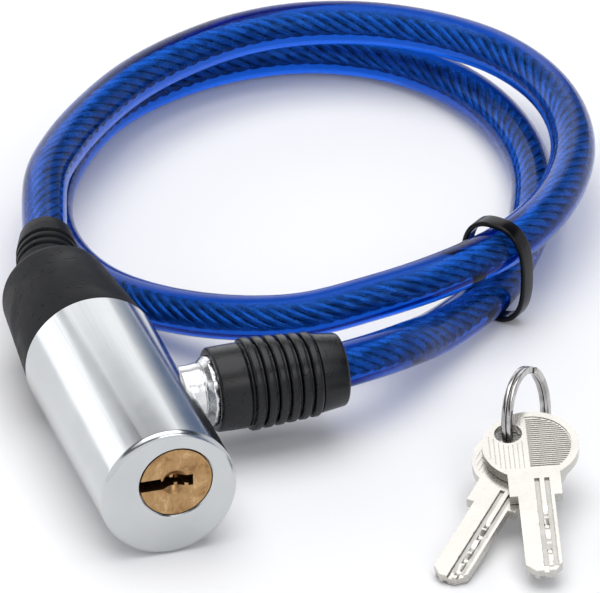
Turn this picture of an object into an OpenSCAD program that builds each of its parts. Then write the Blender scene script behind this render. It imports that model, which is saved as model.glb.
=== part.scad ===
// Cable luggage lock: a chrome lock body with a key cylinder, a steel cable in a clear jacket that is
// anchored in a boot behind the body, and a bolt on the cable's other end that plugs into the body's side.
// The front face of the body is at y = 0, the cable leaves along +Y, the bolt along +X, and +Z is up.
// The lock lies on a surface at the height of the shell's lowest line.

/* [Lock body] */
// Outer diameter of the chrome shell
shell_d = 24; // [22:0.5:30]
// Length of the shell from the front face to its rear edge
shell_l = 47; // [46:0.5:60]
// Wall of the shell's tube
shell_wall = 1.6; // [1.2:0.1:2]
// Thickness of the shell's front wall
front_wall = 2; // [1.6:0.1:2.6]
// Fillet round the front face
front_fillet = 1.2; // [0.5:0.1:2]
// Gap between the shell and the core inside it
core_gap = 0.05; // [0.02:0.01:0.1]

/* [Key cylinder] */
// Diameter of the plug's visible head
plug_d = 12.6; // [12.4:0.1:14]
// Diameter of the plug behind its head
plug_body_d = 11.4; // [11.2:0.1:11.8]
// Offset of the plug's axis to the right of the shell's axis
plug_x = 1.1; // [0:0.1:2]
// Offset of the plug's axis above the shell's axis
plug_z = 2.1; // [0:0.1:2.4]
// Depth of the plug's face behind the shell's front face
plug_recess = 0.2; // [0:0.05:0.6]
// Length of the plug's head
plug_head_l = 3; // [2.8:0.1:3.6]
// Running gap round the plug
plug_gap = 0.05; // [0.02:0.01:0.1]
// Gap round the plug's head in the front wall
plug_rim_gap = 0.2; // [0.1:0.05:0.4]
// Solid web of the plug behind the keyway
plug_web = 1.2; // [1:0.1:2]
// Diameter of the shallow dish in the plug's face
dish_d = 4.6; // [2:0.1:6]
// Depth of the dish
dish_depth = 0.9; // [0.3:0.1:1.5]
// Thickness of the retaining clip
clip_t = 0.7; // [0.5:0.05:1]
// Outer diameter of the retaining clip
clip_d = 13.2; // [12.6:0.1:14]

/* [Pins] */
// Diameter of the tumbler pins
pin_d = 2; // [1.6:0.1:2.2]
// Running gap round a pin
pin_gap = 0.05; // [0.02:0.01:0.08]
// Distance of the first pin from the key's shoulder
pin_first = 4.1; // [4:0.1:4.6]
// Pitch of the pins
pin_pitch = 3.1; // [2.8:0.1:3.2]
// Length of a driver pin
driver_l = 1.9; // [1.5:0.1:2.1]
// Wire diameter of a pin spring
pin_wire = 0.25; // [0.15:0.05:0.3]
// Thickness of the strip that closes the pin chambers
strip_t = 0.7; // [0.5:0.05:0.9]
// Width of the strip
strip_w = 3; // [2.6:0.1:3.4]

/* [Latch] */
// Distance of the drive pin from the plug's axis
drive_throw = 2.9; // [2.6:0.1:3]
// Diameter of the drive pin
drive_d = 2; // [1.6:0.1:2.2]
// Depth of the drive pin in the plug
drive_depth = 1; // [0.6:0.1:1.1]
// Turn of the plug between open and locked, in degrees
plug_turn = 90; // [80:1:90]
// Thickness of the latch's slotted plate
latch_plate_t = 2.2; // [1.8:0.1:2.6]
// Thickness of the latch's fork
latch_fork_t = 2.2; // [1.8:0.1:2.4]
// Sliding gap round the latch
latch_gap = 0.1; // [0.05:0.01:0.2]
// Play of the drive pin in the latch's slot
slot_play = 0.2; // [0.15:0.01:0.3]

/* [Bolt] */
// Diameter of the bolt
bolt_d = 10; // [9:0.1:10.4]
// Running gap round the bolt
bolt_gap = 0.05; // [0.02:0.01:0.1]
// Diameter of the bolt's locking groove
bolt_neck_d = 6.4; // [5.6:0.1:6.8]
// Width of the locking groove
bolt_groove_w = 2.8; // [2.6:0.1:3.2]
// Reach of the bolt past the shell's axis
bolt_reach = 7.6; // [7:0.1:8]
// Length of the bolt's head in front of the groove
bolt_head_l = 3; // [2.4:0.1:3.4]
// Distance of the sleeve's near end from the shell's axis
sleeve_x = 16.4; // [16:0.1:20]
// Diameter of the bolt's flared collar
collar_d = 12; // [11.4:0.1:12.6]
// Length of the collar's flare
collar_flare_l = 1.6; // [1:0.1:2]
// Diameter of the cable socket inside the sleeve
socket_d = 11; // [10.4:0.1:11.4]
// Length of the cable socket inside the sleeve
socket_l = 10.6; // [10:0.1:12]

/* [Bolt sleeve] */
// Length of the rubber sleeve
sleeve_l = 23.5; // [23:0.5:26]
// Diameter of the sleeve's near collar
sleeve_near_d = 14.8; // [14:0.1:16]
// Length of the near collar
sleeve_near_l = 5.6; // [4:0.1:6]
// Diameter of the first rib
rib_first_d = 16.2; // [15:0.1:18]
// Diameter of the last rib
rib_last_d = 14.9; // [14:0.1:16]
// Number of ribs
rib_count = 6; // [4:1:7]
// Pitch of the ribs
rib_pitch = 2.15; // [2:0.05:2.4]
// Depth of the grooves between the ribs
rib_depth = 0.9; // [0.4:0.1:1.2]
// Diameter of the sleeve's far collar where the ribs end
sleeve_far_d = 14; // [13:0.1:15]
// Diameter of the sleeve's far end
sleeve_end_d = 12.4; // [11:0.1:13]
// Edge rounding of the sleeve
sleeve_edge = 1; // [0.5:0.1:1.2]

/* [Boot] */
// Length of the boot's cone behind the shell
boot_l = 24.3; // [20:0.1:30]
// Diameter of the cone's rear end
boot_end_d = 18.8; // [16:0.1:20]
// Rounding of the cone's rear edge
boot_round = 2; // [0.5:0.1:2.4]
// Length of the spigot inside the shell
spigot_l = 6.8; // [5:0.1:7]
// Length of the neck from its bend to its end
neck_l = 14.8; // [14:0.1:18]
// Distance of the neck's bend behind the cone's rear end
neck_bend = 2.7; // [1:0.1:4]
// Bend of the neck towards the bolt's side, in degrees
neck_tilt = 14; // [0:1:20]
// Diameter of the neck's ribs
neck_d = 11; // [10.8:0.1:12]
// Diameter of the neck's end
neck_end_d = 9.2; // [9.1:0.1:10]
// Length of the neck's plain end
neck_plain_l = 5.4; // [4:0.1:6]
// Number of grooves round the neck
neck_grooves = 3; // [2:1:4]
// Pitch of the grooves
neck_pitch = 2.3; // [1.8:0.1:2.6]
// Width of a groove
neck_groove_w = 0.9; // [0.5:0.1:1.2]
// Depth of a groove
neck_groove_depth = 0.5; // [0.2:0.05:0.6]

/* [Cable] */
// Diameter of the cable's jacket
cable_d = 8; // [7:0.1:8.2]
// Diameter of the steel rope inside the jacket
rope_d = 3.4; // [2.4:0.1:4]
// Gap between the rope and the jacket
rope_gap = 0.12; // [0.1:0.01:0.15]
// Gap between the cable and the bores that it passes
cable_gap = 0.15; // [0.1:0.05:0.3]
// Gap between a turn and the turn under it
turn_gap = 0.6; // [0.5:0.1:1]
// Diameter of the ferrule on the cable's fixed end
ferrule_d = 9.6; // [9:0.1:10]
// Length of the ferrule outside the core
ferrule_tail_l = 14; // [10:0.1:16]
// Diameter of the pin that holds the ferrule
ferrule_pin_d = 2.5; // [2:0.1:3]

/* [Coil ring] */
// Play of the two turns in the band, above and below them
band_play = 0.5; // [0.4:0.1:0.6]
// Play of the two turns in the band, on either side of them
band_side = 1.8; // [1.6:0.1:3]
// Thickness of the band
band_t = 0.9; // [0.7:0.1:1]
// Width of the band
band_w = 3.2; // [2:0.1:4]

/* [Keys] */
// Diameter of a key's head
key_head_d = 16.6; // [16:0.1:20]
// Thickness of a key
key_t = 1.8; // [1.5:0.1:2]
// Width of a key's blade
blade_w = 6.2; // [6.1:0.1:7]
// Length of a key's blade
blade_l = 18.5; // [18.4:0.1:20]
// Width of a key's shoulder
shoulder_w = 9; // [8.4:0.1:10.4]
// Distance of the shoulder's stop from the head's centre
shoulder_l = 12.5; // [12:0.1:15]
// Diameter of the hole for the split ring
key_hole_d = 4.8; // [4.7:0.1:5.2]
// Distance of the hole to the left of the head's centre
key_hole_x = 3.6; // [3.4:0.1:3.8]
// Distance of the hole behind the head's centre
key_hole_y = 3.2; // [3:0.1:3.4]
// Gap round the blade in the keyway
blade_gap = 0.15; // [0.1:0.05:0.25]
// Width of the long grooves in the blade
groove_w = 0.9; // [0.6:0.1:1]
// Depth of the long grooves
groove_depth = 0.5; // [0.3:0.05:0.6]
// Depth of the recessed panel on a key's head
panel_depth = 0.15; // [0.05:0.05:0.3]
// Outer diameter of the split ring
split_ring_d = 18; // [17:0.1:20]
// Width of the split ring's wire
split_wire_w = 1.2; // [0.8:0.1:1.4]
// Thickness of one turn of the split ring
split_wire_t = 0.8; // [0.6:0.05:0.9]

/* [Hidden] */
$fn = 72;

// Small overlap that lets one cut run into the next
cut = 1;
// Clearance of parts that are pressed or set together
seat = 0.02;

// Shell and core
shell_r = shell_d / 2;
shell_in_r = shell_r - shell_wall;
core_r = shell_in_r - core_gap;
floor_z = -shell_r;

// Plug and keyway, seen along the plug's axis
plug_r = plug_d / 2;
plug_body_r = plug_body_d / 2;
plug_bore_r = plug_body_r + plug_gap;
keyway_spare = 0.5;
keyway_l = blade_l + keyway_spare;
head_end = plug_recess + plug_head_l;
plug_end = plug_recess + keyway_l + plug_web;
keyway_right = 3;
blade_x = keyway_right - blade_gap - blade_w / 2;
groove_xs = [0.4, 2.1];
dimple_x = (groove_xs[0] + groove_xs[1]) / 2;
pin_x = blade_x + dimple_x;
dish_x = blade_x;

// Tumbler pins
pin_count = 5;
pin_r = pin_d / 2;
pin_bore_r = pin_r + pin_gap;
pin_cut_depths = [0.4, 0.7, 0.3, 0.6, 0.5];
pin_tip_l = 0.6;
pin_tip_r = 0.4 * pin_r;
shear_z = -sqrt(pow(plug_body_r, 2) - pow(pin_x + pin_bore_r, 2));
driver_top = -plug_bore_r - pin_gap;
strip_bottom = -sqrt(pow(core_r, 2) - pow(plug_x + pin_x + strip_w / 2, 2)) + core_gap;
strip_top = strip_bottom + strip_t;
strip_front = front_wall + core_gap;
strip_rear = plug_recess + pin_first + pin_pitch * (pin_count - 1) + pin_d;
spring_turns = 4;
spring_steps = 8;
spring_sides = 6;

// Clip behind the core's plug bore
clip_back = 0.6;
clip_groove = 0.7;
clip_y = plug_end - clip_t - clip_back;
plug_bore_end = clip_y - latch_gap;
clip_groove_r = plug_body_r - clip_groove;
clip_mouth = 40;

// Latch: a slotted plate behind the plug and a fork that straddles the bolt's groove
drive_z = drive_throw * sin(plug_turn / 2);
drive_x = -drive_throw * cos(plug_turn / 2);
latch_travel = 2 * drive_z;
plate_y = plug_end + 2 * latch_gap;
plate_end = plate_y + latch_plate_t;
slot_h = drive_d + 2 * slot_play;
slot_wall = 1;
bolt_r = bolt_d / 2;
bolt_bore_r = bolt_r + bolt_gap;
bolt_wall = 2.7;
bolt_y = plate_end + bolt_wall + bolt_r;
groove_x = -bolt_reach + bolt_head_l + bolt_groove_w / 2;
neck_r = bolt_neck_d / 2;
fork_slot_r = neck_r + 2 * latch_gap;
fork_half = bolt_r + 2 * latch_gap;
fork_bridge = 1.2;
fork_tip_z = sqrt(pow(bolt_r, 2) - pow(fork_slot_r, 2)) + 4 * latch_gap;
latch_left = groove_x - latch_fork_t / 2;
slot_left = plug_x - drive_throw - drive_d / 2 - slot_play;
slot_right = plug_x + drive_x + drive_d / 2 + slot_play;
latch_right = slot_right + slot_wall;
latch_foot_z = plug_z + drive_z - slot_h / 2 - slot_wall;
latch_top_z = fork_tip_z + fork_slot_r + fork_bridge;

// Bolt and sleeve
collar_land = 0.4;
collar_x = sleeve_x - collar_flare_l - collar_land;
socket_end = sleeve_x + socket_l;
sleeve_end = sleeve_x + sleeve_l;
rib_start = sleeve_x + sleeve_near_l;
rib_end = rib_start + rib_count * rib_pitch;
cable_bore_r = cable_d / 2 + cable_gap;
sleeve_mouth = 7;
sleeve_mouth_flare = 1.1;
rib_root = 0.1;
arc_steps = 6;

// Rear end of the core, ferrule and boot
ferrule_r = ferrule_d / 2;
ferrule_wall = 1.4;
ferrule_front = bolt_y + bolt_bore_r + ferrule_wall;
core_step = shell_l - spigot_l;
core_back = 1;
core_end = shell_l - core_back;
spigot_wall = 1.8;
core_step_r = shell_in_r - spigot_wall;
ferrule_end = core_end + ferrule_tail_l;
ferrule_pin_y = core_step + ferrule_pin_d / 2 + seat;
rope_stop = 0.5;
ferrule_solid_l = core_end - ferrule_front + rope_stop;
boot_end = shell_l + boot_l;
boot_taper = atan((shell_d - boot_end_d) / 2 / boot_l);
boot_edge_r = boot_end_d / 2 - boot_round * (1 - sin(boot_taper)) / cos(boot_taper);
boot_edge = arc([boot_edge_r, boot_end - boot_round], boot_round, boot_taper, 90);
bend_y = boot_end + neck_bend;
neck_dir = [sin(neck_tilt), cos(neck_tilt), 0];
neck_tip = [0, bend_y, 0] + neck_l * neck_dir;
neck_root_l = 6;
neck_room = 0.4;
neck_bore_r = cable_d / 2 + neck_room;

// Route of the cable: the first and last points follow the boot and the sleeve, and those between them are
// where the cable lies, each with its layer, 0 on the surface and 1 on the turn below.
cable_r = cable_d / 2;
function lay(x, y, layer) = [x, y, floor_z + cable_r + layer * (cable_d + turn_gap)];
boot_route = [
    [0, ferrule_end + cable_gap, 0],
    [0, ferrule_end + cable_d, 0],
    [0.6, bend_y + 1.5, 0],
    [0, bend_y, 0] + 0.5 * neck_l * neck_dir,
    neck_tip
];
low_layer = 0.17;
high_layer = 1.18;
first_turn = [
    lay(9, 106.5, 1), lay(15.5, 117.5, 1.01), lay(24, 127.5, 1.01), lay(34, 136.5, 1.01),
    lay(45, 143, 1.01), lay(57, 147.2, 1.01), lay(69, 147.8, 1.01), lay(81, 144.4, 1.01),
    lay(91.5, 137.4, 1.01), lay(99.5, 128, 1.01), lay(104, 116.5, 1.01), lay(105, 104, 1.01),
    lay(102.5, 90.5, 1.03), lay(96.5, 77.5, 1.08), lay(87.8, 66, 1.14), lay(77.5, 57.7, high_layer),
    lay(65, 51.6, 1.22), lay(52, 49, 1.14), lay(39.2, 50.8, 0.86), lay(27.8, 57.6, 0.6),
    lay(18.2, 68.6, 0.32), lay(12, 81.5, 0.08)
];
second_turn = [
    lay(9.3, 95, 0.01), lay(10.4, 108.5, 0.01), lay(15.6, 122, 0.01), lay(24, 134.5, 0.01),
    lay(34, 144, 0.01), lay(47, 150.6, 0.01), lay(60.5, 153.3, 0.01), lay(73, 151.8, 0.01),
    lay(84, 145.8, 0.01), lay(92, 136.5, 0.01), lay(97, 124.5, 0.01), lay(98.6, 111, 0.01),
    lay(97, 97.2, 0.02), lay(92, 82.5, 0.06), lay(85, 69.6, 0.13), lay(77.5, 58.9, low_layer),
    lay(69.5, 52.2, 0.17), lay(61.8, 45.5, 0.32), lay(54.4, 38.8, 0.64), lay(47.2, 34.2, 0.84)
];
bolt_route = [
    [socket_end + 13, bolt_y + 1, 0],
    [socket_end + 6.6, bolt_y + 0.1, 0],
    [socket_end + cable_gap, bolt_y, 0]
];
cable_route = concat(boot_route, first_turn, second_turn, bolt_route);
route_steps = 2;
cable_sides = 12;
rope_sides = 8;

// Band round both turns where they cross
band_at = [77.5, 58.3];
band_turn = 40;
band_fullness = 2.6;
band_half_w = cable_r + band_side;
band_half_h = cable_r + (high_layer - low_layer) * (cable_d + turn_gap) / 2 + band_play;
band_z = floor_z + cable_r + (low_layer + high_layer) / 2 * (cable_d + turn_gap);

// Keys: both hang on the ring by one hole axis, and the tip of the lower one lies on the surface
keys_at = [61.5, 3.6];
keys_slope = 12;
keys_slope_turn = -28;
key_turns = [-14, -42];
key_stack = 0.1;
key_hole_r = key_hole_d / 2;
key_head_r = key_head_d / 2;
key_reach = key_hole_y + shoulder_l + blade_l;
key_swing = keys_slope_turn - key_turns[1];
key_tip_drop = key_reach * cos(key_swing) + (key_hole_x + blade_w / 2) * sin(key_swing);
keys_z = floor_z + key_tip_drop * sin(keys_slope) + (key_t + key_stack) * cos(keys_slope);
key_tip_cut = 1.2;
blade_root = -0.75 * shoulder_l;
panel_rim = 1.2;
panel_left = -0.6;
panel_low = -5.4;

// Split ring: it stands on the surface and passes through both holes
ring_lean = 80;
ring_turn = 50;
ring_turns = 2;
ring_turn_gap = 0.1;
ring_r = split_ring_d / 2 - split_wire_w / 2;
ring_half_t = split_wire_t + ring_turn_gap;
ring_z = floor_z + split_ring_d / 2 * sin(ring_lean) + ring_half_t * cos(ring_lean);
ring_steps = 24;

// Points of an arc about a centre
function arc(centre, r, from, to) = [
    for (k = [0:arc_steps])
        let (a = from + (to - from) * k / arc_steps)
            centre + r * [cos(a), sin(a)]
];

// Smooth curve through a list of points
function nth(points, i) =
    i < 0 ? 2 * points[0] - points[1]
    : i >= len(points) ? 2 * points[len(points) - 1] - points[len(points) - 2]
    : points[i];
function between(a, b, c, d, t) =
    0.5 * (2 * b + (c - a) * t + (2 * a - 5 * b + 4 * c - d) * t * t + (3 * b - a - 3 * c + d) * t * t * t);
function smooth(points, steps) = concat(
    [for (i = [0:len(points) - 2]) for (k = [0:steps - 1])
        between(nth(points, i - 1), points[i], points[i + 1], nth(points, i + 2), k / steps)],
    [points[len(points) - 1]]
);

// A section swept along a path, as points and triangles
function unit(v) = v / norm(v);
function heading(path, i) = unit(path[min(i + 1, len(path) - 1)] - path[max(i - 1, 0)]);
function sideways(path, i) = unit(cross(heading(path, i), [0, 0, 1]));
function upwards(path, i) = cross(sideways(path, i), heading(path, i));
function ring_section(r, sides) = [for (k = [0:sides - 1]) r * [cos(360 * k / sides), sin(360 * k / sides)]];
function box_section(w, h) = [[w, -h] / 2, [w, h] / 2, [-w, h] / 2, [-w, -h] / 2];
function swept_points(path, section) = [
    for (i = [0:len(path) - 1]) for (s = section) path[i] + s[0] * sideways(path, i) + s[1] * upwards(path, i)
];
function skin(rings, n, first, flip) = [
    for (i = [0:rings - 2]) for (k = [0:n - 1])
        let (a = first + i * n + k, b = first + i * n + (k + 1) % n)
            for (face = [[a, b, b + n], [a, b + n, a + n]])
                flip ? [face[0], face[2], face[1]] : face
];
function cap(n, first, flip) = [
    for (k = [1:n - 2])
        flip ? [first, first + k + 1, first + k] : [first, first + k, first + k + 1]
];
function collar_cap(n, outer, inner, flip) = [
    for (k = [0:n - 1])
        let (a = outer + k, b = outer + (k + 1) % n, c = inner + k, d = inner + (k + 1) % n)
            for (face = [[a, d, b], [a, c, d]])
                flip ? [face[0], face[2], face[1]] : face
];

// Least gap of the cable to itself, measured between points that are well apart along it
fine_steps = 4;
apart = 3 * cable_d;
fine_route = smooth(cable_route, fine_steps);
function run(path, i) = norm(path[min(i + 1, len(path) - 1)] - path[i]);
function route_lengths(path, i = 0, sum = 0) =
    i >= len(path) ? [] : concat([sum], route_lengths(path, i + 1, sum + run(path, i)));
route_at = route_lengths(fine_route);
cable_gap_to_itself = min([
    for (i = [0:len(fine_route) - 1]) for (j = [i + 1:len(fine_route) - 1])
        if (route_at[j] - route_at[i] > apart) norm(fine_route[j] - fine_route[i])
]) - cable_d;
echo(cable_length = route_at[len(route_at) - 1], cable_gap_to_itself = cable_gap_to_itself);

module swept(path, section) {
    n = len(section);
    rings = len(path);
    polyhedron(
        points = swept_points(path, section),
        faces = concat(skin(rings, n, 0, false), cap(n, 0, true), cap(n, (rings - 1) * n, false))
    );
}

module swept_tube(path, outer, inner) {
    n = len(outer);
    rings = len(path);
    bore = rings * n;
    last = (rings - 1) * n;
    polyhedron(
        points = concat(swept_points(path, outer), swept_points(path, inner)),
        faces = concat(
            skin(rings, n, 0, false),
            skin(rings, n, bore, true),
            collar_cap(n, 0, bore, false),
            collar_cap(n, last, bore + last, true)
        )
    );
}

// Cylinders along the lock's axis, along the bolt's axis and upright, each between two places
module along_y(r, from, to) {
    translate([0, from, 0])
        rotate([-90, 0, 0])
            cylinder(r = r, h = to - from);
}

module along_x(r, from, to) {
    translate([from, 0, 0])
        rotate([0, 90, 0])
            cylinder(r = r, h = to - from);
}

module upright(r, from, to) {
    translate([0, 0, from])
        cylinder(r = r, h = to - from);
}

// A box between two corners
module block(low, high) {
    translate(low)
        cube(high - low);
}

// A flat outline in x and z, drawn out along the lock's axis
module drawn_y(from, to) {
    translate([0, to, 0])
        rotate([90, 0, 0])
            linear_extrude(to - from)
                children();
}

module at_plug() {
    translate([plug_x, 0, plug_z])
        children();
}

module at_bolt() {
    translate([0, bolt_y, 0])
        children();
}

module at_pin(k) {
    translate([plug_x + pin_x, plug_recess + pin_first + k * pin_pitch, plug_z])
        children();
}

module at_neck() {
    translate([0, bend_y, 0])
        rotate([0, 0, -neck_tilt])
            children();
}

// A quarter round that takes the outer corner off a profile, with the corner at (r, y) and the body below y
module rounded_corner(r, y, radius) {
    translate([r - radius, y - radius])
        difference() {
            square(radius + cut);
            circle(r = radius);
        }
}

module outer_shell() {
    color("silver")
        difference() {
            rotate([90, 0, 0])
                rotate_extrude()
                    difference() {
                        translate([0, -shell_l])
                            square([shell_r, shell_l]);
                        rounded_corner(shell_r, 0, front_fillet);
                    }
            along_y(shell_in_r, front_wall, shell_l + cut);
            at_plug()
                along_y(plug_r + plug_rim_gap, -cut, front_wall + cut);
            at_bolt()
                along_x(bolt_bore_r + plug_rim_gap, 0, shell_d);
        }
}

module lock_core() {
    color("darkgray")
        difference() {
            union() {
                along_y(core_r, front_wall, core_step);
                along_y(core_step_r, core_step - cut, core_end);
            }
            at_plug() {
                along_y(plug_r + plug_gap, front_wall - cut, head_end + plug_gap);
                along_y(plug_bore_r, front_wall, plug_bore_end + cut);
                along_y(clip_d / 2 + 2 * latch_gap, plug_bore_end, plate_y);
            }
            for (k = [0:pin_count - 1])
                at_pin(k)
                    upright(pin_bore_r, -shell_d, -plug_body_r + pin_d);
            strip_seat();
            latch_pocket();
            at_bolt()
                along_x(bolt_bore_r, -bolt_reach - 2 * latch_gap, shell_d);
            along_y(ferrule_r + seat, ferrule_front - seat, core_end + cut);
            translate([0, ferrule_pin_y, 0])
                upright(ferrule_pin_d / 2 + seat, -shell_d, shell_d);
        }
}

// Slot under the core that the strip lies in
module strip_seat() {
    translate([plug_x + pin_x, 0, 0])
        block(
            [-strip_w / 2 - seat, front_wall - cut, -shell_d],
            [strip_w / 2 + seat, strip_rear + seat, strip_top + seat]
        );
}

// Room for the latch in its two positions, open to the top of the core
module latch_pocket() {
    block(
        [latch_left - latch_gap, plate_y - latch_gap, latch_foot_z - latch_travel - 2 * latch_gap],
        [latch_right + latch_gap, plate_end + latch_gap, shell_d]
    );
    block(
        [latch_left - latch_gap, plate_y, fork_tip_z - latch_travel - 2 * latch_gap],
        [latch_left + latch_fork_t + latch_gap, bolt_y + fork_half + latch_gap, shell_d]
    );
}

module spring_strip() {
    color("lightgray")
        translate([plug_x + pin_x, 0, 0])
            block([-strip_w / 2, strip_front, strip_bottom], [strip_w / 2, strip_rear, strip_top]);
}

// Outline of the key's blade across its length, with two long grooves on each face
module blade_outline(grow = 0) {
    difference() {
        square([blade_w + 2 * grow, key_t + 2 * grow], center = true);
        for (side = [-1, 1])
            for (x = groove_xs)
                translate([side * x, side * key_t / 2])
                    square([groove_w - 2 * grow, 2 * groove_depth - 2 * grow], center = true);
    }
}

module keyway() {
    translate([blade_x, 0])
        mirror([1, 0])
            blade_outline(blade_gap);
    translate([-plug_d, -key_t / 2 - blade_gap])
        square([plug_d + blade_x - blade_w / 2, key_t + 2 * blade_gap]);
}

module plug() {
    color("#b08d57")
        at_plug()
            difference() {
                union() {
                    along_y(plug_r, plug_recess, head_end);
                    along_y(plug_body_r, head_end - cut, plug_end);
                }
                drawn_y(plug_recess - cut, plug_recess + keyway_l)
                    keyway();
                translate([dish_x, plug_recess, 0])
                    rotate([-90, 0, 0])
                        cylinder(d1 = dish_d, d2 = dish_d / 2, h = dish_depth);
                for (k = [0:pin_count - 1])
                    translate([pin_x, plug_recess + pin_first + k * pin_pitch, 0])
                        upright(pin_bore_r, -plug_d, 0);
                difference() {
                    along_y(plug_d, clip_y - seat, clip_y + clip_t + seat);
                    along_y(clip_groove_r, 0, plug_end + cut);
                }
                translate([drive_x, 0, drive_z])
                    along_y(drive_d / 2 + seat, plug_end - drive_depth - seat, plug_end + cut);
            }
}

module plug_clip() {
    color("slategray")
        at_plug()
            difference() {
                along_y(clip_d / 2, clip_y, clip_y + clip_t);
                along_y(clip_groove_r + seat, clip_y - cut, clip_y + clip_t + cut);
                drawn_y(clip_y - cut, clip_y + clip_t + cut)
                    polygon([
                        [0, 0],
                        clip_d * [cos(270 - clip_mouth), sin(270 - clip_mouth)],
                        clip_d * [cos(270 + clip_mouth), sin(270 + clip_mouth)]
                    ]);
            }
}

module drive_pin() {
    color("lightsteelblue")
        at_plug()
            translate([drive_x, 0, drive_z])
                along_y(drive_d / 2, plug_end - drive_depth, plate_end);
}

module key_pin(k) {
    tip = -key_t / 2 + pin_cut_depths[k];
    color("goldenrod")
        at_pin(k) {
            upright(pin_r, shear_z, tip - pin_tip_l);
            translate([0, 0, tip - pin_tip_l])
                cylinder(r1 = pin_r, r2 = pin_tip_r, h = pin_tip_l);
        }
}

module driver_pin(k) {
    color("khaki")
        at_pin(k)
            upright(pin_r, driver_top - driver_l, driver_top);
}

// A pin spring between its driver pin and the strip
module pin_spring(k) {
    top = driver_top - driver_l + plug_z - seat - pin_wire / 2;
    bottom = strip_top + seat + pin_wire / 2;
    coil_r = pin_r - pin_wire / 2 - pin_gap;
    last = spring_turns * spring_steps;
    path = [
        for (i = [0:last])
            [
                coil_r * cos(360 * i / spring_steps),
                coil_r * sin(360 * i / spring_steps),
                bottom - plug_z + (top - bottom) * i / last
            ]
    ];
    color("gray")
        at_pin(k)
            swept(path, ring_section(pin_wire / 2, spring_sides));
}

module latch() {
    color("darkkhaki")
        difference() {
            union() {
                block([latch_left, plate_y, latch_foot_z], [latch_right, plate_end, latch_top_z]);
                block(
                    [latch_left, plate_y, fork_tip_z],
                    [latch_left + latch_fork_t, bolt_y + fork_half, latch_top_z]
                );
            }
            block(
                [slot_left, plate_y - cut, plug_z + drive_z - slot_h / 2],
                [slot_right, plate_end + cut, plug_z + drive_z + slot_h / 2]
            );
            translate([0, bolt_y, latch_travel])
                along_x(fork_slot_r, latch_left - cut, latch_left + latch_fork_t + cut);
        }
}

module bolt() {
    nose = 0.8;
    groove_from = groove_x - bolt_groove_w / 2;
    groove_to = groove_x + bolt_groove_w / 2;
    color("gainsboro")
        at_bolt()
            rotate([0, 90, 0])
                difference() {
                    rotate_extrude()
                        polygon([
                            [0, -bolt_reach],
                            [bolt_r - nose, -bolt_reach],
                            [bolt_r, -bolt_reach + nose],
                            [bolt_r, groove_from],
                            [neck_r, groove_from],
                            [neck_r, groove_to],
                            [bolt_r, groove_to],
                            [bolt_r, collar_x],
                            [collar_d / 2, collar_x + collar_flare_l],
                            [collar_d / 2, sleeve_x],
                            [socket_d / 2, sleeve_x],
                            [socket_d / 2, socket_end],
                            [0, socket_end]
                        ]);
                    translate([0, 0, sleeve_x])
                        cylinder(r = rope_d / 2 + rope_gap, h = socket_l + cut);
                }
}

// Radius of the sleeve's ribs, from the first to the last
function rib_r(k) = (rib_first_d + (rib_last_d - rib_first_d) * k / (rib_count - 1)) / 2;

module bolt_sleeve() {
    near_r = sleeve_near_d / 2 - sleeve_edge;
    end_r = sleeve_end_d / 2 - sleeve_edge;
    bead = (rib_pitch - rib_root) / 2;
    ribs = [
        for (k = [0:rib_count - 1])
            for (a = arc([0, 0], 1, -90, 90))
                [rib_r(k) + rib_depth * (a[0] - 1), rib_start + (k + 0.5) * rib_pitch + bead * a[1]]
    ];
    color("#26282b")
        at_bolt()
            rotate([0, 90, 0])
                difference() {
                    rotate_extrude()
                        polygon(concat(
                            [[0, sleeve_x]],
                            arc([near_r, sleeve_x + sleeve_edge], sleeve_edge, -90, 0),
                            ribs,
                            [[sleeve_far_d / 2, rib_end]],
                            arc([end_r, sleeve_end - sleeve_edge], sleeve_edge, 0, 90),
                            [[0, sleeve_end]]
                        ));
                    translate([0, 0, sleeve_x - cut])
                        cylinder(r = socket_d / 2 + seat, h = socket_l + cut + seat);
                    translate([0, 0, sleeve_x])
                        cylinder(r = cable_bore_r, h = sleeve_l + cut);
                    translate([0, 0, sleeve_end - sleeve_mouth])
                        cylinder(
                            r1 = cable_bore_r,
                            r2 = cable_bore_r + sleeve_mouth_flare,
                            h = sleeve_mouth + seat
                        );
                }
}

module rear_boot() {
    color("#1f2123")
        difference() {
            union() {
                rotate([-90, 0, 0])
                    rotate_extrude()
                        polygon(concat(
                            [[0, shell_l], [shell_r, shell_l]],
                            boot_edge,
                            [[0, boot_end]]
                        ));
                along_y(shell_in_r - seat, core_step + seat, shell_l + cut);
                at_neck()
                    neck();
            }
            along_y(core_step_r + seat, core_step - cut, core_end + seat);
            along_y(ferrule_r + seat, core_end, ferrule_end + seat);
            along_y(neck_bore_r, core_end, bend_y + cut);
            at_neck() {
                along_y(neck_bore_r, -cut, neck_l - neck_plain_l);
                along_y(cable_bore_r, 0, neck_l + cut);
            }
        }
}

// Ribbed neck along its own axis, with its root inside the cone
module neck() {
    ribs_to = neck_l - neck_plain_l;
    difference() {
        rotate([-90, 0, 0])
            rotate_extrude()
                polygon([
                    [0, -neck_root_l],
                    [neck_d / 2, -neck_root_l],
                    [neck_d / 2, ribs_to],
                    [neck_end_d / 2, neck_l],
                    [0, neck_l]
                ]);
        for (k = [0:neck_grooves - 1])
            difference() {
                along_y(neck_d, ribs_to - neck_groove_w - k * neck_pitch, ribs_to - k * neck_pitch);
                along_y(neck_d / 2 - neck_groove_depth, -neck_root_l, neck_l);
            }
    }
}

module cable_ferrule() {
    color("lightslategray")
        difference() {
            along_y(ferrule_r, ferrule_front, ferrule_end);
            along_y(rope_d / 2 + rope_gap, ferrule_front + ferrule_solid_l, ferrule_end + cut);
            translate([0, ferrule_pin_y, 0])
                upright(ferrule_pin_d / 2 + seat, -shell_d, shell_d);
        }
}

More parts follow.
